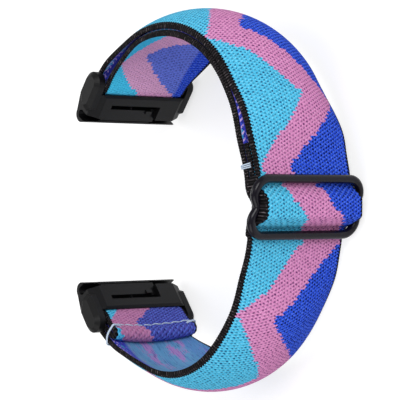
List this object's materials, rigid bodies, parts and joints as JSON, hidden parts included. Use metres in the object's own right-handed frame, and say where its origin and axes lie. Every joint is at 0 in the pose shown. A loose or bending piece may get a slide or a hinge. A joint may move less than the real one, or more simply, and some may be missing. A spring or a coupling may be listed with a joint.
{
  "type": "watch strap",
  "caption": "Elastic woven nylon watch strap: one long webbing with a zigzag stripe, a sliding three-bar buckle and quick-release lug adapters.",
  "frame": {"origin": "bottom centre of the box round the closed strap, standing on its lower edge", "axes": "+Z across the webbing; +X from the two adapters to the buckle; +Y from the lower adapter to the upper one"},
  "size_m": [0.063, 0.081, 0.0302],
  "materials": {
    "webbing": "woven elastic nylon with a zigzag stripe in turquoise, pink and blue and a ribbed black edge",
    "thread": "polyester sewing thread",
    "black_metal": "satin black coating",
    "buckle_metal": "polished black coating",
    "steel": "bare steel"
  },
  "bodies": {
    "strap": {"strap_outer_upper": "webbing", "strap_outer_above_buckle": "webbing", "strap_outer_below_buckle": "webbing", "strap_outer_lower": "webbing", "strap_upper_fold": "webbing", "strap_inner_layer": "webbing", "strap_inner_above_buckle": "webbing", "strap_lower_fold": "webbing", "strap_lower_flap": "webbing", "flap_stitches": "thread", "flap_edge_tacks": "thread"},
    "buckle": {"buckle_frame": "buckle_metal", "buckle_middle_bar": "buckle_metal", "strap_bridge": "webbing", "strap_buckle_loop": "webbing", "buckle_loop_stitches": "thread", "buckle_loop_edge_tacks": "thread"},
    "upper_adapter": {"upper_adapter": "black_metal", "upper_strap_bar": "steel", "upper_latch_spring": "steel"},
    "upper_latch": {"upper_latch": "black_metal"},
    "lower_adapter": {"lower_adapter": "black_metal", "lower_strap_bar": "steel", "lower_latch_spring": "steel"},
    "lower_latch": {"lower_latch": "black_metal"}
  },
  "joints": [
    {"name": "buckle_slide", "type": "hinge", "parent": "strap", "child": "buckle", "pos_m": [-0.01699, -0.00078, 0.0151], "axis": [0, 0, 1], "range_deg": [-16.27, 16.27], "deforming": ["strap_outer_above_buckle", "strap_outer_below_buckle", "strap_inner_above_buckle"]},
    {"name": "upper_adapter_hinge", "type": "hinge", "parent": "strap", "child": "upper_adapter", "pos_m": [-0.02496, 0.02524, 0.0151], "axis": [0, 0, 1], "range_deg": [-25, 25]},
    {"name": "lower_adapter_hinge", "type": "hinge", "parent": "strap", "child": "lower_adapter", "pos_m": [-0.02477, -0.02632, 0.0151], "axis": [0, 0, 1], "range_deg": [-25, 25]},
    {"name": "upper_latch_slide", "type": "slide", "parent": "upper_adapter", "child": "upper_latch", "axis": [0.5878, 0.809, 0], "range_m": [0, 0.0013], "stiffness_N_per_m": 200, "deforming": ["upper_latch_spring"]},
    {"name": "lower_latch_slide", "type": "slide", "parent": "lower_adapter", "child": "lower_latch", "axis": [0.5878, -0.809, 0], "range_m": [0, 0.0013], "stiffness_N_per_m": 200, "deforming": ["lower_latch_spring"]}
  ]
}
